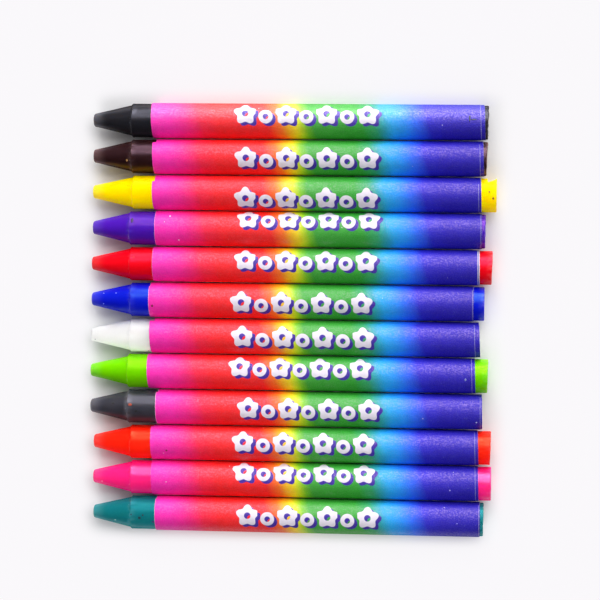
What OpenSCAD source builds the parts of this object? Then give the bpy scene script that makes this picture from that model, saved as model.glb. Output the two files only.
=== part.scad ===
// A set of twelve wax crayons lying side by side on a table.
// Each crayon is a moulded wax stick that sits in a sleeve of printed paper, wound and pasted round it.
// X runs along the crayons with the tips at -X, Y runs across the row, and Z is up from the table.
// The origin is on the table, under the middle of the row.

/* [Wax stick] */
// Length of an untrimmed stick, from its nose to its butt
stick_length = 91; // [80:0.5:130]
// Diameter of the shank, which fills the label
stick_d = 7.75; // [6:0.05:14]
// Length of the tapered tip, from the nose to the foot of the shoulder
taper_length = 9; // [5:0.1:14]
// Diameter of the blunt nose
nose_d = 2.9; // [1.6:0.1:4]
// Rounding of the nose's rim
nose_round = 0.5; // [0.1:0.05:0.7]
// Step in radius from the taper up to the shank
shoulder_step = 0.35; // [0.1:0.05:0.6]
// Length over which that step rises
shoulder_run = 0.5; // [0.1:0.05:1]
// Bevel round the butt
butt_bevel = 0.25; // [0.05:0.05:0.6]

/* [Paper label] */
// Nominal width of the paper strip, along the crayon
label_width = 74.5; // [40:0.5:78]
// Thickness of the paper
paper = 0.07; // [0.05:0.01:0.15]
// Turns that the strip takes round the stick
label_turns = 1.5; // [1:0.5:4]
// Clearance between the stick and the label's inner turn
slip = 0.03; // [0.01:0.01:0.1]

/* [Row] */
// Least gap between the labels of two neighbours
row_gap = 0.08; // [0.05:0.01:5]

/* [Hidden] */
$fn = 96;

// One line for each crayon, from the back of the row to the front:
// its name, its wax colour, how far its tip lies behind the foremost line of tips,
// how much longer than nominal its taper is, the shank left bare between the taper and the label,
// how much wider than nominal its label is cut, how much longer than nominal its butt is cut,
// how far the label's edge climbs towards the tip in a turn, and where the label's seam is turned to,
// in degrees from the top of the crayon towards +Y.
NAME = 0;
WAX = 1;
LAY = 2;
TIP = 3;
BARE = 4;
CUT = 5;
TRIM = 6;
SKEW = 7;
ROLL = 8;
CRAYONS = [
    ["black",  "#2a2b2e", 0.5, -0.1,  4.9,   0.6,  -0.2,  0.9,  80],
    ["brown",  "#3a1c1a", 0.5, -0.1,  5.2,   0.2,  -0.4,  0.8,  53],
    ["yellow", "#ffe800", 0.4,  0.3,  4.9,   0,     1.8,  0.55, 39],
    ["purple", "#4a18a8", 0.4, -0.4,  6.2,   0,    -0.5,  0.2,  95],
    ["red",    "#e60d17", 0.2, -0.05, 5.55,  0,     1.3,  0.3,  76],
    ["blue",   "#0d22d0", 0.2,  0.15, 4.55, -0.35, -0.45, 0.2,  53],
    ["white",  "#f4f2ee", 0.1,  0.15, 4.9,   0,    -1.5,  1.1,  59],
    ["lime",   "#5ed600", 0.0, -0.25, 4.85,  0,     0.8,  0.7,  80],
    ["grey",   "#3d4250", 0.0, -0.25, 6.85,  0,    -0.7,  0.4,  60],
    ["orange", "#ff2a12", 0.8, -0.3,  5.0,   0,     0.9,  0.7,  67],
    ["pink",   "#f5248c", 0.7, -0.1,  5.1,   0,     1.1,  0.65, 90],
    ["teal",   "#0f7f8c", 0.8, -0.15, 5.95,  0,    -0.5,  0.2,  60]
];

function stick_node(crayon) = str(crayon[NAME], "_stick");
function label_node(crayon) = str(crayon[NAME], "_label");

// The paper winds outwards as half turns about two centres, half a sheet apart.
// Each half turn has a radius half a sheet larger than the one before, so its ends meet those beside it.
half_sheet = paper / 2;
winding_offset = half_sheet / 2;
half_turns = 2 * label_turns;
bore_r = stick_d / 2 + slip + winding_offset;
function half_turn_r(k) = bore_r + k * half_sheet;

// The two outermost half turns, and the corner where the strip ends
upper_r = half_turn_r(half_turns - 2) + paper;
lower_r = half_turn_r(half_turns - 1) + paper;
seam_r = lower_r + winding_offset;

// How far a label reaches from its axis, at an angle from its seam
function label_reach(angle) =
    sin(angle) >= 0
        ? max(upper_r - winding_offset * cos(angle), seam_r * cos(angle))
        : lower_r + winding_offset * cos(angle);

// A crayon rests on the table, so its axis is as high as its label reaches down
function axis_height(crayon) = label_reach(180 - crayon[ROLL]);

// The row is centred on the origin
pitch = 2 * seam_r + row_gap;
row_start = min([for (crayon = CRAYONS) crayon[LAY]]);
row_end = max([for (crayon = CRAYONS) crayon[LAY] + stick_length + crayon[TRIM]]);
function crayon_x(crayon) = crayon[LAY] - (row_start + row_end) / 2;
function crayon_y(i) = ((len(CRAYONS) - 1) / 2 - i) * pitch;

// The taper of one crayon, from its nose to the foot of its shoulder
shoulder_r = stick_d / 2 - shoulder_step;
function tip_length(crayon) = taper_length + crayon[TIP];

// The nose's rim is drawn in so many steps
RIM_STEPS = 6;

// Sets a crayon down in its place in the row, with its own nose at x = 0 and its axis along +X
module in_row(i) {
    translate([crayon_x(CRAYONS[i]), crayon_y(i), axis_height(CRAYONS[i])])
        children();
}

// A moulded stick: blunt nose, taper, sloped shoulder and plain shank, turned about its axis.
// The nose's rim is an arc that meets the flat nose and the taper without a corner.
module wax_stick(crayon) {
    length = stick_length + crayon[TRIM];
    tip = tip_length(crayon);
    taper_angle = atan2(shoulder_r - nose_d / 2, tip);
    rim_sweep = 90 - taper_angle;
    rim_r = nose_d / 2 - nose_round * (1 - sin(taper_angle)) / cos(taper_angle);
    rim = [
        for (step = [0 : RIM_STEPS])
            let (angle = rim_sweep * step / RIM_STEPS)
                [rim_r + nose_round * sin(angle), nose_round * (1 - cos(angle))]
    ];
    outline = concat(
        [[0, 0]],
        rim,
        [
            [shoulder_r, tip],
            [stick_d / 2, tip + shoulder_run],
            [stick_d / 2, length - butt_bevel],
            [stick_d / 2 - butt_bevel, length],
            [0, length]
        ]
    );
    color(crayon[WAX])
        rotate([0, 90, 0])
            rotate_extrude()
                polygon(outline);
}

// One half turn of the paper strip, wound about Z. They lie on the two sides by turns, the last at -Y.
// Both edges slant, so that the strip climbs by half its skew, and are level where it meets the next.
module half_turn(k, width, skew) {
    side = (half_turns - k) % 2 == 0 ? 1 : -1;
    inner_r = half_turn_r(k);
    outer_r = inner_r + paper;
    level = inner_r - paper;
    margin = outer_r + paper;
    start_z = k * skew / 2;
    end_z = start_z + skew / 2;
    edge = [
        [side * margin, start_z],
        [side * level, start_z],
        [-side * level, end_z],
        [-side * margin, end_z]
    ];
    far_edge = [for (point = edge) point + [0, width]];
    translate([-side * winding_offset, 0, 0])
        intersection() {
            translate([0, 0, start_z - paper])
                linear_extrude(width + skew / 2 + 2 * paper)
                    difference() {
                        circle(r = outer_r);
                        circle(r = inner_r);
                    }
            translate([0, side * margin / 2, 0])
                rotate([90, 0, 0])
                    linear_extrude(margin, center = true)
                        polygon(concat(edge, [for (i = [len(edge) - 1 : -1 : 0]) far_edge[i]]));
        }
}

// A label: the wound strip, turned to its seam and slid along until the shank in front of it is bare
module paper_label(crayon) {
    skew = crayon[SKEW];
    width = label_width + crayon[CUT];
    front = width + label_turns * skew - skew * crayon[ROLL] / 360;
    color("orchid")
        translate([tip_length(crayon) + crayon[BARE] + front, 0, 0])
            rotate([0, -90, 0])
                rotate([0, 0, crayon[ROLL]])
                    for (k = [0 : half_turns - 1])
                        half_turn(k, width, skew);
}

for (i = [0 : len(CRAYONS) - 1]) {
    in_row(i) wax_stick(CRAYONS[i]);
    in_row(i) paper_label(CRAYONS[i]);
}
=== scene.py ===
"""A set of twelve wax crayons, each in its wound paper label, lying side by side on a pale table."""
import math
import random

import bpy
from mathutils import Euler, Matrix, Vector, noise


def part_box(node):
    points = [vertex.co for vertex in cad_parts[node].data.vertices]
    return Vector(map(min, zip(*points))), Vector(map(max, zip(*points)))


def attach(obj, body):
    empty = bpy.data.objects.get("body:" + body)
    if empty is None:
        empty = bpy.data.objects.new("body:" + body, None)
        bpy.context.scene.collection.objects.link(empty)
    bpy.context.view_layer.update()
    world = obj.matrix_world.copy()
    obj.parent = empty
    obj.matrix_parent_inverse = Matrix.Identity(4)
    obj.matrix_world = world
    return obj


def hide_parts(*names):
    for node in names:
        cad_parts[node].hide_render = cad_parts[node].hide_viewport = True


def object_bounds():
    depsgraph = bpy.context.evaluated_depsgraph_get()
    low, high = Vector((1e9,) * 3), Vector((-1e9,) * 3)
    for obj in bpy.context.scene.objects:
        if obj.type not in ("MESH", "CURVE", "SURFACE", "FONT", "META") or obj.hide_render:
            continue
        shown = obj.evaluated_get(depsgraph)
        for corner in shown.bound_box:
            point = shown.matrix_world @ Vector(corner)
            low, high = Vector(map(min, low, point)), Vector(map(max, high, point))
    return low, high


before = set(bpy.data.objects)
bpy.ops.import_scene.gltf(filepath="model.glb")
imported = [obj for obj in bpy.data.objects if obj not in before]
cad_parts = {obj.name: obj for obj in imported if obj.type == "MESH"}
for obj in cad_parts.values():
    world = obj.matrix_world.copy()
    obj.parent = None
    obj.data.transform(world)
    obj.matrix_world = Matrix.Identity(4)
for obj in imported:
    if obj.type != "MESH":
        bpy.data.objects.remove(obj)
cad_low, cad_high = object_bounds()


# The wax sticks: pigmented paraffin wax, poured into a mould and trimmed at the butt.
# Each has a blunt worn nose, a taper, a sloped shoulder with a ragged lip, and a plain shank that runs
# through the label. One stick is modelled, and each copy is drawn out to its own taper and length.
MM = 0.001
CRAYONS = [
    "black", "brown", "yellow", "purple", "red", "blue",
    "white", "lime", "grey", "orange", "pink", "teal",
]
# Length of each taper in mm, from the nose to the foot of the shoulder
TAPERS = {
    "black": 8.9, "brown": 8.9, "yellow": 9.3, "purple": 8.6, "red": 8.95, "blue": 9.15,
    "white": 9.15, "lime": 8.75, "grey": 8.75, "orange": 8.7, "pink": 8.9, "teal": 8.85,
}
SIDES = 96
TAPER = max(TAPERS.values()) * MM
NOSE_R = 1.45 * MM
NOSE_ROUND = 0.5 * MM
NOSE_CROWN = 0.06 * MM
SHOULDER_STEP = 0.35 * MM
SHOULDER_RUN = 0.5 * MM
# The shoulder's slope, as shares of its run and of its step: a crisp foot and a rounded lip
SHOULDER_SLOPE = [(0.08, 0.25), (0.22, 0.55), (0.42, 0.83), (0.62, 1.0), (0.8, 1.05), (1.0, 1.0)]
SHANK_RING = 1.25 * MM
BUTT_LENGTH = 2.6 * MM
BUTT_RING = 0.2 * MM
BUTT_ROUND = 0.25 * MM
BUTT_DISH = 0.12 * MM
RIM_STEPS = 6
TAPER_STEPS = 12
# Rings on the crown of the nose and in the dish of the butt, as shares of their radius
CROWN_RINGS = (0.25, 0.5, 0.75)
DISH_RINGS = (0.8, 0.6, 0.4, 0.2)
# Edges that turn by more than this stay sharp
SHARP = math.radians(40)
TINY = 0.002 * MM
model_low, model_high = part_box("black_stick")
STICK_R = (model_high.y - model_low.y) / 2
MODEL_LENGTH = model_high.x - model_low.x
SHOULDER_R = STICK_R - SHOULDER_STEP


def only(piece):
    """Makes one piece the active object, with nothing else selected."""
    if bpy.context.object and bpy.context.object.mode != "OBJECT":
        bpy.ops.object.mode_set(mode="OBJECT")
    bpy.ops.object.select_all(action="DESELECT")
    piece.select_set(True)
    bpy.context.view_layer.objects.active = piece


def pick(piece, test):
    """Opens a piece in edit mode with the vertices selected whose place passes a test."""
    only(piece)
    bpy.ops.object.mode_set(mode="EDIT")
    bpy.ops.mesh.select_mode(type="VERT")
    bpy.ops.mesh.select_all(action="DESELECT")
    bpy.ops.object.mode_set(mode="OBJECT")
    for vertex in piece.data.vertices:
        vertex.select = test(vertex.co)
    bpy.ops.object.mode_set(mode="EDIT")


def copy_of(piece, name):
    """A copy of a modelled piece, with its own mesh."""
    twin = piece.copy()
    twin.data = piece.data.copy()
    twin.name = name
    twin.data.name = name
    bpy.context.collection.objects.link(twin)
    return twin


def stick_rings():
    """Distance from the nose and radius of each ring of the stick, from the nose to the butt."""
    slope = math.atan2(SHOULDER_R - NOSE_R, TAPER)
    rim_r = NOSE_R - NOSE_ROUND * (1 - math.sin(slope)) / math.cos(slope)
    for share in CROWN_RINGS:
        yield NOSE_CROWN * share ** 2, rim_r * share
    for step in range(RIM_STEPS + 1):
        turn = (math.pi / 2 - slope) * step / RIM_STEPS
        yield NOSE_CROWN + NOSE_ROUND * (1 - math.cos(turn)), rim_r + NOSE_ROUND * math.sin(turn)
    start = NOSE_CROWN + NOSE_ROUND * (1 - math.sin(slope))
    start_r = rim_r + NOSE_ROUND * math.cos(slope)
    for step in range(1, TAPER_STEPS + 1):
        share = step / TAPER_STEPS
        yield start + (TAPER - start) * share, start_r + (SHOULDER_R - start_r) * share
    for along, up in SHOULDER_SLOPE:
        yield TAPER + SHOULDER_RUN * along, SHOULDER_R + SHOULDER_STEP * up
    shank = MODEL_LENGTH - BUTT_LENGTH - TAPER - SHOULDER_RUN
    shank_steps = round(shank / SHANK_RING)
    for step in range(1, shank_steps + 1):
        yield TAPER + SHOULDER_RUN + shank * step / shank_steps, STICK_R
    butt = BUTT_LENGTH - BUTT_ROUND
    butt_steps = round(butt / BUTT_RING)
    for step in range(1, butt_steps + 1):
        yield MODEL_LENGTH - BUTT_LENGTH + butt * step / butt_steps, STICK_R
    for step in range(1, RIM_STEPS + 1):
        turn = math.pi / 2 * step / RIM_STEPS
        yield (MODEL_LENGTH - BUTT_ROUND * (1 - math.sin(turn)),
               STICK_R - BUTT_ROUND * (1 - math.cos(turn)))
    for share in DISH_RINGS:
        yield MODEL_LENGTH - BUTT_DISH * (1 - share ** 2), (STICK_R - BUTT_ROUND) * share


def model_stick():
    """A stick with its nose at the origin and its axis along +X, drawn out ring by ring."""
    rings = list(stick_rings())
    last_x, last_r = rings[0]
    bpy.ops.object.select_all(action="DESELECT")
    bpy.ops.mesh.primitive_circle_add(
        vertices=SIDES, radius=last_r, fill_type="NOTHING",
        location=(last_x, 0, 0), rotation=(0, math.pi / 2, 0), enter_editmode=True)
    bpy.ops.mesh.select_all(action="SELECT")
    bpy.ops.mesh.edge_face_add()
    bpy.ops.mesh.select_mode(type="EDGE")
    for x, r in rings[1:]:
        bpy.ops.mesh.extrude_edges_move(TRANSFORM_OT_translate={"value": (x - last_x, 0, 0)})
        bpy.ops.transform.resize(value=(1, r / last_r, r / last_r))
        last_x, last_r = x, r
    bpy.ops.mesh.edge_face_add()
    bpy.ops.mesh.select_all(action="SELECT")
    bpy.ops.mesh.normals_make_consistent(inside=False)
    bpy.ops.object.mode_set(mode="OBJECT")
    stick = bpy.context.object
    bpy.ops.object.transform_apply(location=True, rotation=True, scale=True)
    return stick


# How far the moulded surface wavers, always inwards so that the label still slides over it
WAVER = 0.06 * MM
WAVER_SIZE = 2.2 * MM
# How ragged the lip of the shoulder is, and over how much of the shoulder's run
LIP_RAG = 0.06 * MM
LIP_SHARE = 0.9
waver_pattern = bpy.data.textures.new("wax_waver", "CLOUDS")
waver_pattern.noise_scale = WAVER_SIZE
waver_pattern.noise_depth = 2
# How each butt was broken off, in mm: how much shorter its -Y side is, and how ragged its rim is
BUTTS = {
    "black": (0.1, 0.45), "brown": (0.25, 0.2), "yellow": (0.0, 0.12), "purple": (0.1, 0.3),
    "red": (0.2, 0.1), "blue": (0.0, 0.1), "white": (0.05, 0.1), "lime": (0.15, 0.12),
    "grey": (0.0, 0.1), "orange": (0.22, 0.14), "pink": (0.0, 0.1), "teal": (0.1, 0.3),
}
BUTT_REACH = 1.6 * MM
BUTT_RAG_SIZE = 1.3 * MM
# A bite out of a stick's +Y side, in mm: its two ends from the butt, and its depth at each of them
BITES = {"yellow": (2.1, 1.0, 0.35, 0.3)}
BITE_ROUGH = 0.3
# Tapers that are slimmer than the rest, as shares of the usual girth
SLIM = {"lime": 0.95}


def cast_stick(model, name, seed):
    """One stick of the set, at its own size and place, with a ragged shoulder and butt."""
    low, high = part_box(f"{name}_stick")
    length = high.x - low.x
    taper = TAPERS[name] * MM
    girth = SLIM.get(name, 1)
    stick = copy_of(model, f"{name}_wax_stick")
    pick(stick, lambda place: place.x < TAPER + TINY)
    bpy.ops.transform.resize(value=(taper / TAPER, girth, girth), center_override=(0, 0, 0))
    pick(stick, lambda place: place.x > TAPER + TINY)
    bpy.ops.transform.translate(value=(taper - TAPER, 0, 0))
    pick(stick, lambda place: place.x > MODEL_LENGTH / 2)
    bpy.ops.transform.translate(value=(length - MODEL_LENGTH - taper + TAPER, 0, 0))
    pick(stick, lambda place: taper + TINY < place.x < taper + LIP_SHARE * SHOULDER_RUN)
    bpy.ops.transform.vertex_random(offset=LIP_RAG, uniform=1, normal=0, seed=seed)
    bpy.ops.object.mode_set(mode="OBJECT")
    slant, rag = BUTTS[name]
    bite_start, bite_depth, bite_end, end_depth = BITES.get(name, (0, 0, 0, 0))
    for vertex in stick.data.vertices:
        behind = length - vertex.co.x
        rough = noise.noise(Vector((seed * BUTT_RAG_SIZE, vertex.co.y, vertex.co.z)) / BUTT_RAG_SIZE)
        if bite_end * MM < behind < bite_start * MM:
            share = (behind / MM - bite_end) / (bite_start - bite_end)
            depth = end_depth + (bite_depth - end_depth) * share
            vertex.co.y = min(vertex.co.y, STICK_R - depth * (1 + BITE_ROUGH * rough) * MM)
        if behind < BUTT_REACH:
            short = slant * (0.5 - vertex.co.y / STICK_R / 2) + rag * (0.5 + 0.5 * rough)
            vertex.co.x -= (1 - behind / BUTT_REACH) * short * MM
    stick.location = (low.x, (low.y + high.y) / 2, (low.z + high.z) / 2)
    bpy.ops.object.transform_apply(location=True, rotation=True, scale=True)
    waver = stick.modifiers.new("waver", "DISPLACE")
    waver.texture = waver_pattern
    waver.strength = WAVER
    waver.mid_level = 1
    bpy.ops.object.modifier_apply(modifier=waver.name)
    bpy.ops.object.shade_smooth_by_angle(angle=SHARP)
    return stick


stick_model = model_stick()
sticks = {name: cast_stick(stick_model, name, seed) for seed, name in enumerate(CRAYONS, start=1)}
bpy.data.objects.remove(stick_model)


# The wax itself: satin, a little translucent and never quite even. It is frosted with a fine grain, has
# fine lines round it from the mould, is chalky where broken, and carries painted glare on the worn nose.
# Each wax has its colour and the tint of its gloss.
WAX = {
    "black": ("#201f24", "#e9e7ff"),
    "brown": ("#2a1415", "#ffc8e7"),
    "yellow": ("#ffd800", "#ffa800"),
    "purple": ("#4d14b2", "#e799ff"),
    "red": ("#f00516", "#ff74ba"),
    "blue": ("#0812cc", "#89d2ff"),
    "white": ("#f1ecea", "#ffffff"),
    "lime": ("#74d400", "#ffff50"),
    "grey": ("#3b3a43", "#ede9ff"),
    "orange": ("#fa1c0a", "#ffb37c"),
    "pink": ("#f6187c", "#ffb0ff"),
    "teal": ("#0f7077", "#59edff"),
}
# Strength of the gloss, and from where to where it fades as the wax turns edge on
GLOSS = 0.5
STRONG_GLOSS = {"pink": 1.0}
WAX_GLOSS_FADE = (0.4, 0.7)
WAX_ROUGHNESS = (0.28, 0.38)
# How much of the light sinks into the wax, how deep in mm, and how far its red, green and blue spread
SCATTER = (0.8, 2.0, (1.0, 0.6, 0.35))
WHITE_SCATTER = (1.0, 6.0, (1.0, 0.95, 0.9))
# Unevenness of the wax: grains to the millimetre of its colour, of its frost and of the mould's lines,
# with how much each of them shows
MOTTLE_GRAIN = 0.45
MOTTLE_DARK = 0.95
FROST_GRAIN = 1.5
FROST_BAND = (0.45, 0.75)
FROST_ROUGH_BAND = (0.38, 0.62)
FROST_COVER = 0.18
FROST_TONE = (1.3, 0.003)
FROST_DEPTH = 0.012 * MM
LINE_GRAIN = (5.0, 0.5, 0.5)
LINE_DEPTH = 0.06 * MM
LINE_STRENGTH = 0.3
# Pale wax, for chalky breaks and for the painted glare on the nose: how strong its own colour is, how far
# it is lifted to white, and how the glare lies along the nose
PALE_WAX_STRENGTH = 0.5
PALE_WAX_LIFT = 0.35
NOSE_WEAR_AND_GLARE = 0.12
NOSE_WEAR_AND_GLARE_LENGTH = 3.5
BRIGHTEST = 0.95
PER_MM = 1 / MM


def colour(code):
    """A shader colour from the #rrggbb that it shows as."""
    parts = [int(code[at:at + 2], 16) / 255 for at in (1, 3, 5)]
    linear = [part / 12.92 if part <= 0.04045 else ((part + 0.055) / 1.055) ** 2.4 for part in parts]
    return (*linear, 1)


def add(tree, kind, sockets, **settings):
    """A shader node with its settings, and with its sockets linked or set."""
    node = tree.nodes.new(kind)
    for setting, value in settings.items():
        setattr(node, setting, value)
    for socket, value in sockets.items():
        if isinstance(value, bpy.types.NodeSocket):
            tree.links.new(value, node.inputs[socket])
        else:
            node.inputs[socket].default_value = value
    return node


def mixed(tree, amount, under, over, how="MIX"):
    """A colour laid over another by an amount from 0 to 1."""
    sockets = {0: amount, 6: under, 7: over}
    return add(tree, "ShaderNodeMix", sockets, data_type="RGBA", blend_type=how).outputs[2]


def worked(tree, how, first, second=0.0, third=0.0):
    """The result of one step of arithmetic."""
    return add(tree, "ShaderNodeMath", {0: first, 1: second, 2: third}, operation=how).outputs[0]


def ramped(tree, value, start, end, low=0.0, high=1.0):
    """A value carried smoothly from low to high as another goes from start to end."""
    sockets = {"Value": value, "From Min": start, "From Max": end, "To Min": low, "To Max": high}
    return add(tree, "ShaderNodeMapRange", sockets, interpolation_type="SMOOTHSTEP").outputs["Result"]


def grain(tree, place, scale, detail=3.0, roughness=0.55):
    """A noise value of so many grains to the millimetre."""
    sockets = {"Vector": place, "Scale": scale, "Detail": detail, "Roughness": roughness}
    return add(tree, "ShaderNodeTexNoise", sockets).outputs["Fac"]


def new_finish(name):
    """A material's node tree and its shader, with nothing linked to it yet."""
    finish = bpy.data.materials.new(name)
    finish.use_nodes = True
    tree = finish.node_tree
    return finish, tree, tree.nodes["Principled BSDF"]


def in_mm(tree, source, origin=(0, 0, 0)):
    """A place on the piece, in millimetres from an origin."""
    return add(tree, "ShaderNodeMapping", {
        "Vector": source,
        "Location": tuple(-PER_MM * part for part in origin),
        "Scale": (PER_MM, PER_MM, PER_MM),
    }).outputs["Vector"]


def toned(tint, strength, lift=0.0):
    """A colour made stronger or weaker, and lifted towards white."""
    return (*(min(BRIGHTEST, strength * part + lift) for part in tint[:3]), 1)


def wax_finish(name, nose):
    """Satin wax of one colour. Its pattern is measured in millimetres from the stick's own nose."""
    finish, tree, shader = new_finish(f"{name}_wax")
    place = in_mm(tree, add(tree, "ShaderNodeTexCoord", {}).outputs["Object"], nose)
    along = add(tree, "ShaderNodeSeparateXYZ", {"Vector": place}).outputs["X"]
    mottle = grain(tree, place, MOTTLE_GRAIN)
    frost = grain(tree, place, FROST_GRAIN, detail=5.0, roughness=0.75)
    turned = add(tree, "ShaderNodeMapping", {"Vector": place, "Scale": LINE_GRAIN}).outputs["Vector"]
    lines = grain(tree, turned, 1.0)

    wax, gloss = (colour(code) for code in WAX[name])
    pale_wax = toned(wax, PALE_WAX_STRENGTH / max(wax[:3]), PALE_WAX_LIFT)
    tone = mixed(tree, mottle, toned(wax, MOTTLE_DARK), wax)
    frosty = ramped(tree, frost, *FROST_BAND, 0.0, FROST_COVER)
    tone = mixed(tree, frosty, tone, toned(wax, *FROST_TONE))
    # Painted glare: the wax is paler towards the worn nose and fades back to its own colour behind it
    nose_wear_and_glare = ramped(tree, along, NOSE_WEAR_AND_GLARE_LENGTH, 0.0, 0.0, NOSE_WEAR_AND_GLARE)
    tone = mixed(tree, nose_wear_and_glare, tone, pale_wax)
    # Chalky broken wax, and a painted sheen on the butts' rims, as each vertex notes
    chalk_and_rim_sheen = add(tree, "ShaderNodeAttribute", {}, attribute_name="chalk_and_sheen").outputs["Fac"]
    tone = mixed(tree, chalk_and_rim_sheen, tone, pale_wax)
    tree.links.new(tone, shader.inputs["Base Color"])
    tree.links.new(ramped(tree, frost, *FROST_ROUGH_BAND, *WAX_ROUGHNESS), shader.inputs["Roughness"])

    lined = add(tree, "ShaderNodeBump", {
        "Strength": LINE_STRENGTH, "Distance": LINE_DEPTH, "Height": lines})
    frosted = add(tree, "ShaderNodeBump", {
        "Strength": 1.0, "Distance": FROST_DEPTH, "Height": frost, "Normal": lined.outputs["Normal"]})
    tree.links.new(frosted.outputs["Normal"], shader.inputs["Normal"])
    facing = add(tree, "ShaderNodeLayerWeight", {}).outputs["Facing"]
    shine = ramped(tree, facing, *WAX_GLOSS_FADE, STRONG_GLOSS.get(name, GLOSS), 0.0)
    tree.links.new(shine, shader.inputs["Specular IOR Level"])
    shader.inputs["Specular Tint"].default_value = gloss
    share, depth, spread = WHITE_SCATTER if name == "white" else SCATTER
    shader.inputs["Subsurface Weight"].default_value = share
    shader.inputs["Subsurface Radius"].default_value = spread
    shader.inputs["Subsurface Scale"].default_value = depth * MM
    return finish


waxes = {}
for name, stick in sticks.items():
    stick_low, stick_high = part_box(f"{name}_stick")
    nose = (stick_low.x, (stick_low.y + stick_high.y) / 2, (stick_low.z + stick_high.z) / 2)
    waxes[name] = wax_finish(name, nose)
    stick.data.materials.append(waxes[name])


# Broken wax, crumbs and marks: the lip and the butt are paler where they are broken, the butts' rims also
# carry a painted sheen, crumbs of the stick's own wax cling to the shoulder, and specks of other colours
# are stuck on. One crumb is modelled and copied.
LIP_BLOOM = {"brown": 0.05, "purple": 0.06, "blue": 0.08, "grey": 0.12, "teal": 0.08}
LIP_PATCH = 0.7 * MM
LIP_BAND = 0.8 * SHOULDER_RUN
# How pale each butt's rim is: chalky broken wax, with a painted sheen over it
PLAIN_BUTT_CHALK_AND_SHEEN = 0.04
BUTT_CHALK_AND_SHEEN = {
    "black": 0.1, "brown": 0.2, "purple": 0.2, "red": 0.3, "blue": 0.25, "lime": 0.2,
    "orange": 0.1, "pink": 0.15, "teal": 0.1,
}
CRUMB_BLOOM = 0.15
# The crumb's own size, the sizes of its copies as shares of it, and where they lie: in mm from the foot of
# the shoulder, and in degrees to either side of the top
CRUMB_R = 0.5 * MM
CRUMB_ROUGH = 0.07 * MM
CRUMB_SIZES = (0.1, 0.24)
CRUMB_REACH = (-0.2, 0.4)
CRUMB_SWEEP = 75
CRUMBS = {
    "black": 2, "brown": 5, "yellow": 1, "purple": 3, "red": 1, "blue": 8,
    "white": 2, "lime": 3, "grey": 10, "orange": 1, "pink": 2, "teal": 5,
}
# Each mark's crayon, millimetres from the nose, degrees from the top towards +Y, length along the crayon,
# width round it and colour. A distance under 0 is from the butt.
MARKS = [
    ("purple", 9.6, 28, 0.65, 1.2, "#2c0f55"),
    ("grey", 9.8, 10, 0.9, 0.6, "#b4492f"),
    ("grey", 5.7, 18, 0.9, 0.45, "#26262d"),
    ("grey", 11.2, -12, 0.8, 0.5, "#24242b"),
    ("brown", 8.2, -17, 0.4, 0.45, "#b98a4e"),
    ("red", 10.2, 25, 0.5, 0.45, "#f4081a"),
    ("teal", 11.3, -12, 0.7, 0.6, "#0a2d35"),
    ("teal", 12.1, -2, 0.45, 0.4, "#0a2d35"),
    ("teal", 9.4, 0, 0.35, 0.3, "#0a2d35"),
    ("teal", 14.4, -26, 0.45, 0.5, "#3c1068"),
    ("teal", 5.4, -37, 0.5, 0.2, "#a5d8d2"),
    ("yellow", -1.8, 12, 0.4, 0.35, "#5b4a12"),
    ("yellow", -0.9, -10, 0.4, 0.5, "#7a4410"),
    ("white", 1.1, -39, 0.3, 0.25, "#8d8883"),
    ("white", 13.6, -66, 0.35, 0.3, "#8d8883"),
    ("pink", 2.3, -30, 0.3, 0.3, "#ff9ccb"),
    ("blue", 3.0, 41, 0.3, 0.25, "#8fa6ff"),
    ("blue", 6.0, 33, 0.3, 0.25, "#8fa6ff"),
    ("blue", 3.0, -29, 0.25, 0.25, "#8fa6ff"),
]
MARK_HEIGHT = 0.1
MARK_ROUGHNESS = 0.45
# Marks so far behind the taper are pressed in, to pass under the label when the stick slides
SLIDES_UNDER = 2 * MM
MARK_SINK = 0.03 * MM


def model_crumb():
    """A rough crumb, a millimetre across."""
    bpy.ops.object.select_all(action="DESELECT")
    bpy.ops.mesh.primitive_ico_sphere_add(subdivisions=2, radius=CRUMB_R, enter_editmode=True)
    bpy.ops.mesh.select_all(action="SELECT")
    bpy.ops.transform.vertex_random(offset=CRUMB_ROUGH, uniform=1, normal=0, seed=1)
    bpy.ops.object.mode_set(mode="OBJECT")
    bpy.ops.object.shade_smooth()
    return bpy.context.object


def set_chalk_and_sheen(piece, amount):
    """Notes how pale each vertex is, from chalky wax and from painted sheen, for the wax to read."""
    chalk_and_sheen = piece.data.attributes.new("chalk_and_sheen", "FLOAT", "POINT")
    for vertex in piece.data.vertices:
        chalk_and_sheen.data[vertex.index].value = amount(vertex.co)


def wax_radius(name, along):
    """The radius of a stick at a distance from its nose."""
    taper = TAPERS[name] * MM
    return STICK_R if along > taper else NOSE_R + (SHOULDER_R - NOSE_R) * along / taper


def stuck_on(crumb, name, along, angle, out, size, finish, pale_wax):
    """A copy of the crumb, pressed on at a distance from a nose, an angle from the top and a radius."""
    low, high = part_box(f"{name}_stick")
    turn = math.radians(angle)
    speck = copy_of(crumb, f"{name}_speck")
    only(speck)
    speck.scale = size
    speck.rotation_euler.x = -turn
    speck.location = (
        low.x + along,
        (low.y + high.y) / 2 + out * math.sin(turn),
        (low.z + high.z) / 2 + out * math.cos(turn))
    bpy.ops.object.transform_apply(location=True, rotation=True, scale=True)
    speck.data.materials.append(finish)
    set_chalk_and_sheen(speck, lambda place: pale_wax)
    return speck


def mark_finish(code):
    """A speck of wax of another colour."""
    name = f"mark_{code[1:]}"
    if name in bpy.data.materials:
        return bpy.data.materials[name]
    finish, tree, shader = new_finish(name)
    shader.inputs["Base Color"].default_value = colour(code)
    shader.inputs["Roughness"].default_value = MARK_ROUGHNESS
    return finish


def join(piece, specks):
    """Makes specks part of the piece that they stick to."""
    only(piece)
    for speck in specks:
        speck.select_set(True)
    bpy.ops.object.join()


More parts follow.
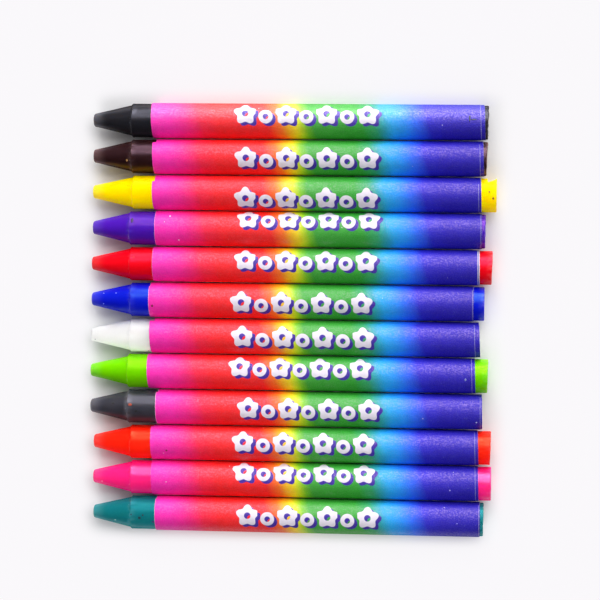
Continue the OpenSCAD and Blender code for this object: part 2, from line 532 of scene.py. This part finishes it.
def crumbled(stick, name, crumb, chance):
    """A stick with its crumbs and marks joined to it."""
    low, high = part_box(f"{name}_stick")
    taper = TAPERS[name] * MM

    def chalk_and_sheen_at(place):
        patch = max(0, 0.5 + noise.noise(place / LIP_PATCH))
        if abs(place.x - low.x - taper - SHOULDER_RUN / 2) < LIP_BAND:
            return LIP_BLOOM.get(name, 0) * patch
        # The butt's rim: chalky broken wax with a painted sheen
        reach = max(0, 1 - (high.x - place.x) / BUTT_REACH)
        return BUTT_CHALK_AND_SHEEN.get(name, PLAIN_BUTT_CHALK_AND_SHEEN) * patch * reach

    set_chalk_and_sheen(stick, chalk_and_sheen_at)
    specks = []
    for count in range(CRUMBS[name]):
        along = taper + chance.uniform(*CRUMB_REACH) * MM
        size = [chance.uniform(*CRUMB_SIZES) for side in range(3)]
        angle = chance.uniform(-CRUMB_SWEEP, CRUMB_SWEEP)
        out = wax_radius(name, along)
        specks.append(stuck_on(crumb, name, along, angle, out, size, waxes[name], CRUMB_BLOOM))
    for crayon, along, angle, long, wide, code in MARKS:
        if crayon == name:
            place = along * MM if along > 0 else high.x - low.x + along * MM
            out = wax_radius(name, place) - (MARK_SINK if place > taper + SLIDES_UNDER else 0)
            size = (long, wide, MARK_HEIGHT)
            specks.append(stuck_on(crumb, name, place, angle, out, size, mark_finish(code), 0))
    join(stick, specks)


chance = random.Random(7)
crumb_model = model_crumb()
for name, stick in sticks.items():
    crumbled(stick, name, crumb_model, chance)
    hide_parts(f"{name}_stick")
    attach(stick, f"{name}_core")


# The paper labels: a printed strip as wide as the label is long, pasted one and a half times round the
# stick, a little askew, so that its ends climb towards the tip and step where the strip stops.
# One flat strip is modelled, and each copy is skewed, wound up and turned to where its seam lies.
TURNS = 1.5
PAPER = 0.07 * MM
SHEET = 0.06 * MM
SLIP = 0.03 * MM
STRIP_CELLS_LONG = 30
STRIP_CELLS_ROUND = round(SIDES * TURNS)
EDGE_WANDER = 0.05 * MM
EDGE_WANDER_SIZE = 1.5 * MM
# How far the edge climbs in a turn, in mm, and where the seam is, in degrees from the top towards +Y,
# and the bare paper that the print leaves at the front and rear edges, in mm
SEAMS = {
    "black": (0.9, 80, 0.0, 0.0),
    "brown": (0.8, 53, 0.0, 0.0),
    "yellow": (0.55, 39, 0.0, 0.0),
    "purple": (0.2, 95, 0.03, 0.0),
    "red": (0.3, 76, 0.02, 0.12),
    "blue": (0.2, 53, 0.03, 0.0),
    "white": (1.1, 59, 0.0, 0.0),
    "lime": (0.7, 80, 0.0, 0.0),
    "grey": (0.4, 60, 0.05, 0.0),
    "orange": (0.7, 67, 0.0, 0.0),
    "pink": (0.65, 90, 0.0, 0.0),
    "teal": (0.2, 60, 0.03, 0.0),
}
INNER_R = STICK_R + SLIP + SHEET
MIDDLE_R = INNER_R + PAPER * TURNS / 2
STRIP_LENGTH = 2 * math.pi * MIDDLE_R * TURNS
PRINT_WIDTH = 74.5 * MM
# Scuffs and specks of wax on the labels, noted as the marks on the sticks are
LABEL_MARKS = [
    ("black", 87.2, 8, 1.6, 0.25, "#33333f"),
    ("black", 86.3, 12, 0.35, 1.5, "#33333f"),
    ("purple", 18.3, 45, 0.4, 0.4, "#f6d8ec"),
    ("purple", 20.4, -40, 0.35, 0.35, "#f6d8ec"),
    ("blue", 14.6, -18, 0.5, 0.6, "#8c1238"),
    ("lime", 86.6, -8, 0.5, 0.6, "#7f86c4"),
    ("grey", 89.2, -31, 0.35, 0.4, "#b4b2e6"),
    ("orange", 17.5, -22, 0.45, 0.45, "#8a1638"),
    ("pink", 82.7, -17, 0.35, 0.35, "#a59dea"),
    ("teal", 84.3, -7, 0.3, 0.3, "#8f86e6"),
]
LABEL_MARK_HEIGHT = 0.06


def model_strip():
    """The flat strip, in the XZ plane and printed on its -Y side, with the end that shows at +Z."""
    bpy.ops.object.select_all(action="DESELECT")
    bpy.ops.mesh.primitive_grid_add(
        x_subdivisions=STRIP_CELLS_LONG, y_subdivisions=STRIP_CELLS_ROUND,
        size=1, rotation=(math.pi / 2, 0, 0))
    strip = bpy.context.object
    strip.scale = (PRINT_WIDTH, STRIP_LENGTH, 1)
    bpy.ops.object.transform_apply(location=True, rotation=True, scale=True)
    return strip


def wound_label(flat, name):
    """One label of the set: a strip that is skewed, wound up, given its thickness and set in place."""
    climb, roll, bare_front, bare_rear = SEAMS[name]
    low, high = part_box(f"{name}_label")
    stick_low, stick_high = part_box(f"{name}_stick")
    width = high.x - low.x - TURNS * climb * MM
    label = copy_of(flat, f"{name}_paper_label")
    for vertex in label.data.vertices:
        if abs(vertex.co.x) > PRINT_WIDTH / 2 - TINY:
            spot = Vector((high.y, vertex.co.x, vertex.co.z)) / EDGE_WANDER_SIZE
            vertex.co.x -= math.copysign(EDGE_WANDER, vertex.co.x) * (0.5 + 0.5 * noise.noise(spot))
    printed = width - (bare_front + bare_rear) * MM
    for corner in label.data.uv_layers.active.data:
        corner.uv.x = (corner.uv.x * width - bare_front * MM) / printed
    skew = Matrix.Identity(4)
    skew[0][0] = width / PRINT_WIDTH
    skew[0][2] = -climb * MM * TURNS / STRIP_LENGTH
    skew[1][2] = -PAPER * TURNS / STRIP_LENGTH
    label.data.transform(skew)

    only(label)
    winding = label.modifiers.new("winding", "SIMPLE_DEFORM")
    winding.deform_method = "BEND"
    winding.deform_axis = "X"
    winding.angle = 2 * math.pi * TURNS
    bpy.ops.object.modifier_apply(modifier=winding.name)
    label.data.transform(Matrix.Translation((0, -MIDDLE_R, 0)))
    thickness = label.modifiers.new("thickness", "SOLIDIFY")
    thickness.thickness = SHEET
    thickness.offset = -1
    thickness.material_offset = 1
    thickness.material_offset_rim = 1
    label.data.materials.append(print_finish)
    label.data.materials.append(raw_paper)
    bpy.ops.object.modifier_apply(modifier=thickness.name)
    label.rotation_euler.x = math.radians(180 * TURNS - 90 - roll)
    label.location = (stick_low + stick_high) / 2
    label.location.x = (low.x + high.x) / 2
    bpy.ops.object.transform_apply(location=True, rotation=True, scale=True)
    bpy.ops.object.shade_smooth_by_angle(angle=SHARP)
    return label


# The print: a rainbow that runs along the label and leans a little, with a row of plain white flowers and
# rings over the middle, each with a violet shade. Each stop is mm from the print's front, and its colour.
RAINBOW = [
    (0.0, "#fa24b0"),
    (3.5, "#fa24ac"),
    (6.5, "#fa2094"),
    (11.0, "#fa1d43"),
    (15.0, "#fa1d1e"),
    (26.0, "#fa261e"),
    (28.9, "#fc741a"),
    (30.4, "#fdb415"),
    (32.0, "#fcdc18"),
    (33.3, "#d0e11c"),
    (34.6, "#82c820"),
    (36.2, "#40a938"),
    (47.0, "#30a630"),
    (50.2, "#2ea769"),
    (52.3, "#24a5ba"),
    (54.0, "#19a7ec"),
    (56.5, "#1795f6"),
    (59.2, "#1e6af6"),
    (62.4, "#2224c6"),
    (66.0, "#231bb6"),
    (74.5, "#211aae"),
]
LEAN = 0.23
PAPER_WHITE = "#ebe7ea"
PAPER_SHADE = "#d8d2d2"
PAPER_ROUGHNESS = 0.75
PRINT_GLOSS = "#ffdcff"
MOTIF_WHITE = "#e6dfec"
MOTIF_SHADE = "#3b27a0"
MOTIF_START = 21.5
MOTIF_PITCH = 4.6
MOTIF_COUNT = 7
FLOWER_R = 2.3
RING_R = 1.6
FLOWER_HOLE = 0.75
RING_HOLE = 0.65
PETALS = 5.0
PETAL_DEPTH = 0.16
MOTIF_SWAY = 0.35
MOTIF_FROM_SEAM = 4.25
SHADE_RIGHT = 0.7
SHADE_DOWN = 0.6
MOTIF_EDGE = 0.15
# The part of a noise's range that most of its values lie in
NOISE_BAND = (0.35, 0.65)
# The paper's grain: fibres to the millimetre, how pale they show, and how far they stand up
FIBRE_GRAIN = 3.2
FIBRE_PALE_BAND = (0.55, 0.8)
FIBRE_PALE = 0.1
FIBRE_DEPTH = 0.065 * MM
PRINT_ROUGHNESS = (0.4, 0.56)
# The gloss on high and on low fibres, and from where to where it fades as the paper turns edge on
FIBRE_GLOSS = (0.9, 0.25)
PRINT_GLOSS_FADE = (0.5, 0.85)
# Uneven ink, pale specks, the ragged margin of the print, and the outer turn's scuffed rear edge
INK_CLOUD_GRAIN = 0.5
INK_CLOUD_DARK = 0.08
SPECK_CELL = 5.0
SPECK_R = 0.16
SPECK_COVER = 0.7
RAGGED_GRAIN = 1.4
RAGGED_EDGE = 0.04
MARGIN_EDGE = 0.03
REAR_SCUFF = 0.14
REAR_SCUFF_COVER = 0.25


def motif_cover(tree, along, beside):
    """1 inside a row of flowers and rings by turns, and 0 outside and in their holes."""
    count = worked(tree, "DIVIDE", worked(tree, "SUBTRACT", along, MOTIF_START), MOTIF_PITCH)
    nearest = worked(tree, "ROUND", count)
    nearest = worked(tree, "MINIMUM", worked(tree, "MAXIMUM", nearest, 0.0), MOTIF_COUNT - 1.0)
    odd = worked(tree, "MODULO", nearest, 2.0)
    aside = worked(tree, "MULTIPLY", worked(tree, "SUBTRACT", count, nearest), MOTIF_PITCH)
    sway = worked(tree, "MULTIPLY_ADD", odd, -2 * MOTIF_SWAY, MOTIF_SWAY)
    across = worked(tree, "SUBTRACT", beside, sway)
    reach = add(tree, "ShaderNodeVectorMath", {
        0: add(tree, "ShaderNodeCombineXYZ", {"X": aside, "Y": across}).outputs["Vector"],
    }, operation="LENGTH").outputs["Value"]
    turn = worked(tree, "MULTIPLY", worked(tree, "ARCTAN2", across, aside), PETALS)
    depth = worked(tree, "MULTIPLY_ADD", odd, -PETAL_DEPTH, PETAL_DEPTH)
    petal = worked(tree, "MULTIPLY_ADD", worked(tree, "SINE", turn), depth, 1.0)
    radius = worked(tree, "MULTIPLY", worked(tree, "MULTIPLY_ADD", odd, RING_R - FLOWER_R, FLOWER_R), petal)
    hole = worked(tree, "MULTIPLY_ADD", odd, RING_HOLE - FLOWER_HOLE, FLOWER_HOLE)
    inside = worked(
        tree, "MINIMUM", worked(tree, "SUBTRACT", radius, reach), worked(tree, "SUBTRACT", reach, hole))
    return ramped(tree, inside, -MOTIF_EDGE / 2, MOTIF_EDGE / 2)


def printed_paper():
    """Satin printed paper: the rainbow, the motif, bare margins at the cut edges, and the paper's grain."""
    finish, tree, shader = new_finish("printed_label")
    source = add(tree, "ShaderNodeTexCoord", {})
    place = in_mm(tree, source.outputs["Object"])
    flat = add(tree, "ShaderNodeSeparateXYZ", {"Vector": source.outputs["UV"]})
    along = worked(tree, "MULTIPLY", flat.outputs["X"], PRINT_WIDTH * PER_MM)
    around = worked(tree, "MULTIPLY", flat.outputs["Y"], STRIP_LENGTH * PER_MM)
    beside = worked(tree, "SUBTRACT", around, STRIP_LENGTH * PER_MM - MOTIF_FROM_SEAM)

    half_round = math.pi * MIDDLE_R * PER_MM
    in_register = worked(tree, "WRAP", beside, half_round, -half_round)
    leaning = worked(tree, "MULTIPLY_ADD", in_register, LEAN, along)
    ramp = add(tree, "ShaderNodeValToRGB", {"Fac": worked(tree, "DIVIDE", leaning, PRINT_WIDTH * PER_MM)})
    stops = ramp.color_ramp.elements
    stops.remove(stops[0])
    for at, code in RAINBOW:
        share = at * MM / PRINT_WIDTH
        stop = stops.new(share) if at else stops[0]
        stop.position = share
        stop.color = colour(code)
    tone = ramp.outputs["Color"]

    shade = motif_cover(
        tree, worked(tree, "SUBTRACT", along, SHADE_RIGHT), worked(tree, "ADD", beside, SHADE_DOWN))
    tone = mixed(tree, shade, tone, colour(MOTIF_SHADE))
    tone = mixed(tree, motif_cover(tree, along, beside), tone, colour(MOTIF_WHITE))

    fibre = grain(tree, place, FIBRE_GRAIN, detail=2.0)
    cloud = grain(tree, place, INK_CLOUD_GRAIN)
    pale = ramped(tree, fibre, *FIBRE_PALE_BAND, 0.0, FIBRE_PALE)
    tone = mixed(tree, pale, tone, colour(PAPER_WHITE))
    dark = ramped(tree, cloud, *NOISE_BAND, INK_CLOUD_DARK, 0.0)
    tone = mixed(tree, dark, tone, (0, 0, 0, 1))
    cells = add(tree, "ShaderNodeTexVoronoi", {"Vector": place, "Scale": 1 / SPECK_CELL})
    rim = SPECK_R / SPECK_CELL
    speck = ramped(tree, cells.outputs["Distance"], rim, rim / 2, 0.0, SPECK_COVER)
    tone = mixed(tree, speck, tone, colour(PAPER_WHITE))
    ragged = worked(tree, "MULTIPLY_ADD", grain(tree, place, RAGGED_GRAIN), 2 * RAGGED_EDGE, -RAGGED_EDGE)
    from_rear = worked(tree, "SUBTRACT", PRINT_WIDTH * PER_MM, along)
    from_edge = worked(tree, "MINIMUM", along, from_rear)
    bare = ramped(tree, worked(tree, "SUBTRACT", from_edge, ragged), MARGIN_EDGE, -MARGIN_EDGE)
    tone = mixed(tree, bare, tone, colour(PAPER_WHITE))
    outer_turn = worked(tree, "GREATER_THAN", around, (STRIP_LENGTH - 2 * math.pi * MIDDLE_R) * PER_MM)
    scuffed = ramped(tree, from_rear, REAR_SCUFF, REAR_SCUFF / 2, 0.0, REAR_SCUFF_COVER)
    tone = mixed(tree, worked(tree, "MULTIPLY", scuffed, outer_turn), tone, colour(PAPER_WHITE))
    tree.links.new(tone, shader.inputs["Base Color"])
    tree.links.new(ramped(tree, fibre, *NOISE_BAND, *PRINT_ROUGHNESS), shader.inputs["Roughness"])
    bump = add(tree, "ShaderNodeBump", {"Strength": 1.0, "Distance": FIBRE_DEPTH, "Height": fibre})
    tree.links.new(bump.outputs["Normal"], shader.inputs["Normal"])
    facing = add(tree, "ShaderNodeLayerWeight", {}).outputs["Facing"]
    fade = ramped(tree, facing, *PRINT_GLOSS_FADE, 1.0, 0.0)
    gloss = worked(tree, "MULTIPLY", ramped(tree, fibre, *NOISE_BAND, *FIBRE_GLOSS), fade)
    tree.links.new(gloss, shader.inputs["Specular IOR Level"])
    shader.inputs["Specular Tint"].default_value = colour(PRINT_GLOSS)
    return finish


def bare_paper():
    """The unprinted back and cut edges of the strip."""
    finish, tree, shader = new_finish("bare_paper")
    place = in_mm(tree, add(tree, "ShaderNodeTexCoord", {}).outputs["Object"])
    fibre = grain(tree, place, FIBRE_GRAIN, detail=4.0)
    tone = mixed(tree, fibre, colour(PAPER_SHADE), colour(PAPER_WHITE))
    tree.links.new(tone, shader.inputs["Base Color"])
    shader.inputs["Roughness"].default_value = PAPER_ROUGHNESS
    return finish


print_finish = printed_paper()
raw_paper = bare_paper()
flat_strip = model_strip()
labels = {name: wound_label(flat_strip, name) for name in CRAYONS}
for name, label in labels.items():
    join(label, [
        stuck_on(
            crumb_model, name, along * MM, angle, MIDDLE_R + PAPER / 2,
            (long, wide, LABEL_MARK_HEIGHT), mark_finish(code), 0)
        for crayon, along, angle, long, wide, code in LABEL_MARKS if crayon == name
    ])
    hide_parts(f"{name}_label")
    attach(label, f"{name}_crayon")
bpy.data.objects.remove(flat_strip)
bpy.data.objects.remove(crumb_model)


# The table, the light and the camera. The table is matt and nearly white, with three soft lights to itself.
# A broad window beyond the row, the ceiling and the front of the room light the crayons, over a weak fill.
# Other lights stand in for what the room and the wax pass on. The camera looks down with a long lens.
TABLE_SIZE = 6.0
TABLE_TONE = "#f7f6f8"
TABLE_ROUGHNESS = 0.9
# How much of the table shows as white as the backdrop, from just inside the row's edge to so many mm beyond
WHITE_SHARE = 0.9
WHITE_INSIDE = 0.5
WHITE_REACH = 4.0
# Each light's side, height and spread in degrees, and its strength. Most come from the same side.
LIGHT_SIDE = -8
WINDOW_HEIGHT = 25
WINDOW_SPREAD = 35
WINDOW_STRENGTH = 2.7
CEILING_HEIGHT = 57
CEILING_SIDE = -3
CEILING_SPREAD = 30
CEILING_STRENGTH = 1.5
FRONT_HEIGHT = 105
FRONT_SPREAD = 50
FRONT_STRENGTH = 0.5
# Light that comes through the clearer waxes, and most of all through the white one, which is kept out of
# the ceiling's light so that it isn't bleached
CLEAR_WAXES = ["yellow", "white", "orange", "pink", "teal"]
WAX_LIGHT_HEIGHT = 135
WAX_LIGHT_SPREAD = 60
WAX_LIGHT_STRENGTH = 0.8
WHITE_LIGHT_STRENGTH = 0.9
# The bright table and wall beyond the row, which the first label mirrors. It comes from below the table's
# level, so only the crayons may stop it
HORIZON_HEIGHT = -10
HORIZON_SPREAD = 130
HORIZON_STRENGTH = 17
HORIZON_TONE = "#e7ffe0"
# Onto the table alone, from beyond the row, from the near side and from the butts' side,
# so that the row's shadow stays soft and faint all round it: height, side and strength
TABLE_LIGHTS = {"far": (50, -8, 1.25), "near": (40, 168, 1.05), "butt": (45, -65, 1.2)}
TABLE_LIGHT_SPREAD = 40
FILL_STRENGTH = 0.25
BACKDROP_TONE = "#faf8fb"
LOOKED_AT = Vector((1.89, 4.47, 4.07)) * MM
CAMERA_TURN = Euler([math.radians(angle) for angle in (2.972, -4.739, -0.767)])
CAMERA_AWAY = 480 * MM
LENS_PIXELS = 2090.65
IMAGE_PIXELS = 600
SENSOR_WIDTH = 36
CAMERA_NEAR = 10 * MM

bpy.ops.object.select_all(action="DESELECT")
bpy.ops.mesh.primitive_plane_add(size=TABLE_SIZE, location=(0, 0, cad_low.z))
table = bpy.context.object
table.name = "table"


def moved(tree, how, first, second=(0, 0, 0)):
    """The result of one step of arithmetic on a place."""
    return add(tree, "ShaderNodeVectorMath", {0: first, 1: second}, operation=how).outputs["Vector"]


def table_top():
    """A matt pale surface, which the camera sees fade into an even white away from the row."""
    finish, tree, shader = new_finish("table")
    shader.inputs["Base Color"].default_value = colour(TABLE_TONE)
    shader.inputs["Roughness"].default_value = TABLE_ROUGHNESS
    shader.inputs["Specular IOR Level"].default_value = 0.0
    place = in_mm(tree, add(tree, "ShaderNodeTexCoord", {}).outputs["Object"])
    corner = (cad_high.x * PER_MM - WHITE_INSIDE, cad_high.y * PER_MM - WHITE_INSIDE, 0)
    beyond = moved(tree, "MAXIMUM", moved(tree, "SUBTRACT", moved(tree, "ABSOLUTE", place), corner))
    away = add(tree, "ShaderNodeVectorMath", {0: beyond}, operation="LENGTH").outputs["Value"]
    white = ramped(tree, away, 0.0, WHITE_INSIDE + WHITE_REACH, 0.0, WHITE_SHARE)
    seen = add(tree, "ShaderNodeLightPath", {}).outputs["Is Camera Ray"]
    glow = add(tree, "ShaderNodeEmission", {"Color": colour(BACKDROP_TONE), "Strength": 1.0})
    faded = add(tree, "ShaderNodeMixShader", {
        "Fac": worked(tree, "MULTIPLY", white, seen),
        1: shader.outputs["BSDF"],
        2: glow.outputs["Emission"],
    })
    tree.links.new(faded.outputs["Shader"], tree.nodes["Material Output"].inputs["Surface"])
    return finish


table.data.materials.append(table_top())


def far_light(name, height, side, spread, strength):
    """A distant light at a height above the horizon and an angle from +Y towards -X, in degrees."""
    light = bpy.data.objects.new(name, bpy.data.lights.new(name, "SUN"))
    light.data.energy = strength
    light.data.angle = math.radians(spread)
    light.rotation_euler = Euler((math.radians(height - 90), 0, math.radians(side)))
    bpy.context.collection.objects.link(light)
    return light


def light_only(light, pieces):
    """Keeps a light to some pieces, which are returned as a group."""
    lit = bpy.data.collections.new(f"lit_by_{light.name}")
    for piece in pieces:
        lit.objects.link(piece)
    light.light_linking.receiver_collection = lit
    return lit


crayons = [*sticks.values(), *labels.values()]
window_light = far_light("window_light", WINDOW_HEIGHT, LIGHT_SIDE, WINDOW_SPREAD, WINDOW_STRENGTH)
ceiling_light = far_light("ceiling_light", CEILING_HEIGHT, CEILING_SIDE, CEILING_SPREAD, CEILING_STRENGTH)
front_light = far_light("front_light", FRONT_HEIGHT, LIGHT_SIDE, FRONT_SPREAD, FRONT_STRENGTH)
wax_light = far_light("wax_light", WAX_LIGHT_HEIGHT, LIGHT_SIDE, WAX_LIGHT_SPREAD, WAX_LIGHT_STRENGTH)
horizon_light = far_light("horizon_light", HORIZON_HEIGHT, LIGHT_SIDE, HORIZON_SPREAD, HORIZON_STRENGTH)
white_light = far_light(
    "white_light", WAX_LIGHT_HEIGHT, LIGHT_SIDE, WAX_LIGHT_SPREAD, WHITE_LIGHT_STRENGTH)
for soft_light in (white_light, front_light, wax_light):
    soft_light.visible_glossy = False
horizon_light.visible_diffuse = False
horizon_light.data.color = colour(HORIZON_TONE)[:3]
crayon_group = light_only(front_light, crayons)
light_only(window_light, crayons)
light_only(ceiling_light, [piece for piece in crayons if piece != sticks["white"]])
light_only(wax_light, [sticks[name] for name in CLEAR_WAXES])
light_only(white_light, [sticks["white"]])
light_only(horizon_light, [labels[CRAYONS[0]]])
horizon_light.light_linking.blocker_collection = crayon_group
for place, (height, side, strength) in TABLE_LIGHTS.items():
    light_only(far_light(f"table_light_{place}", height, side, TABLE_LIGHT_SPREAD, strength), [table])

world = bpy.context.scene.world or bpy.data.worlds.new("room")
bpy.context.scene.world = world
world.use_nodes = True
world.cycles_visibility.glossy = False
room = world.node_tree
room.nodes.clear()
seen = add(room, "ShaderNodeLightPath", {})
fill = add(room, "ShaderNodeBackground", {"Color": colour("#ffffff"), "Strength": FILL_STRENGTH})
backdrop = add(room, "ShaderNodeBackground", {"Color": colour(BACKDROP_TONE), "Strength": 1.0})
either = add(room, "ShaderNodeMixShader", {
    "Fac": seen.outputs["Is Camera Ray"], 1: fill.outputs["Background"], 2: backdrop.outputs["Background"]})
add(room, "ShaderNodeOutputWorld", {"Surface": either.outputs["Shader"]})

camera = bpy.data.objects.new("camera", bpy.data.cameras.new("camera"))
camera.data.sensor_width = SENSOR_WIDTH
camera.data.lens = LENS_PIXELS / IMAGE_PIXELS * SENSOR_WIDTH
camera.data.clip_start = CAMERA_NEAR
camera_axes = CAMERA_TURN.to_matrix().transposed()
camera.matrix_world = Matrix.LocRotScale(
    LOOKED_AT + camera_axes @ Vector((0, 0, CAMERA_AWAY)), camera_axes.to_quaternion(), None)
bpy.context.collection.objects.link(camera)
bpy.context.scene.camera = camera
bpy.context.scene.view_settings.view_transform = "Standard"
